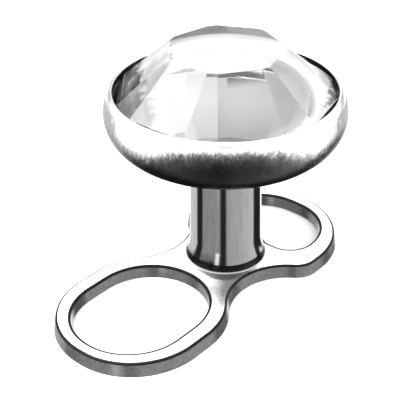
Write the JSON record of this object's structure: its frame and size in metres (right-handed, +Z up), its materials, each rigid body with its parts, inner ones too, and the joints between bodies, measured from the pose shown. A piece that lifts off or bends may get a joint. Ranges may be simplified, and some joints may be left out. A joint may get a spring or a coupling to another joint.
{
  "type": "dermal anchor with a cut stone",
  "caption": "Flat windowed foot plate with an upright post and a round metal cup that holds a clear cut stone; the plate is worn under the skin and the head above it.",
  "frame": {"origin": "on the axis of the post at the underside of the foot plate, which is the surface that it rests on", "axes": "+Z up along the post, +X along the plate towards the end of its shorter loop, with the longer loop at -X"},
  "size_m": [0.0074, 0.005, 0.0051],
  "materials": {
    "plate_steel": "mirror polished surgical steel with softly broken edges",
    "post_steel": "turned and polished surgical steel with fine upright lines",
    "cup_steel": "satin brushed surgical steel with a bright polished lip",
    "stone": "clear cut crystal with a foiled flat back"
  },
  "bodies": {
    "root": {"foot_plate": "plate_steel", "post": "post_steel", "bezel_cup": "cup_steel", "crystal": "stone"}
  },
  "joints": []
}
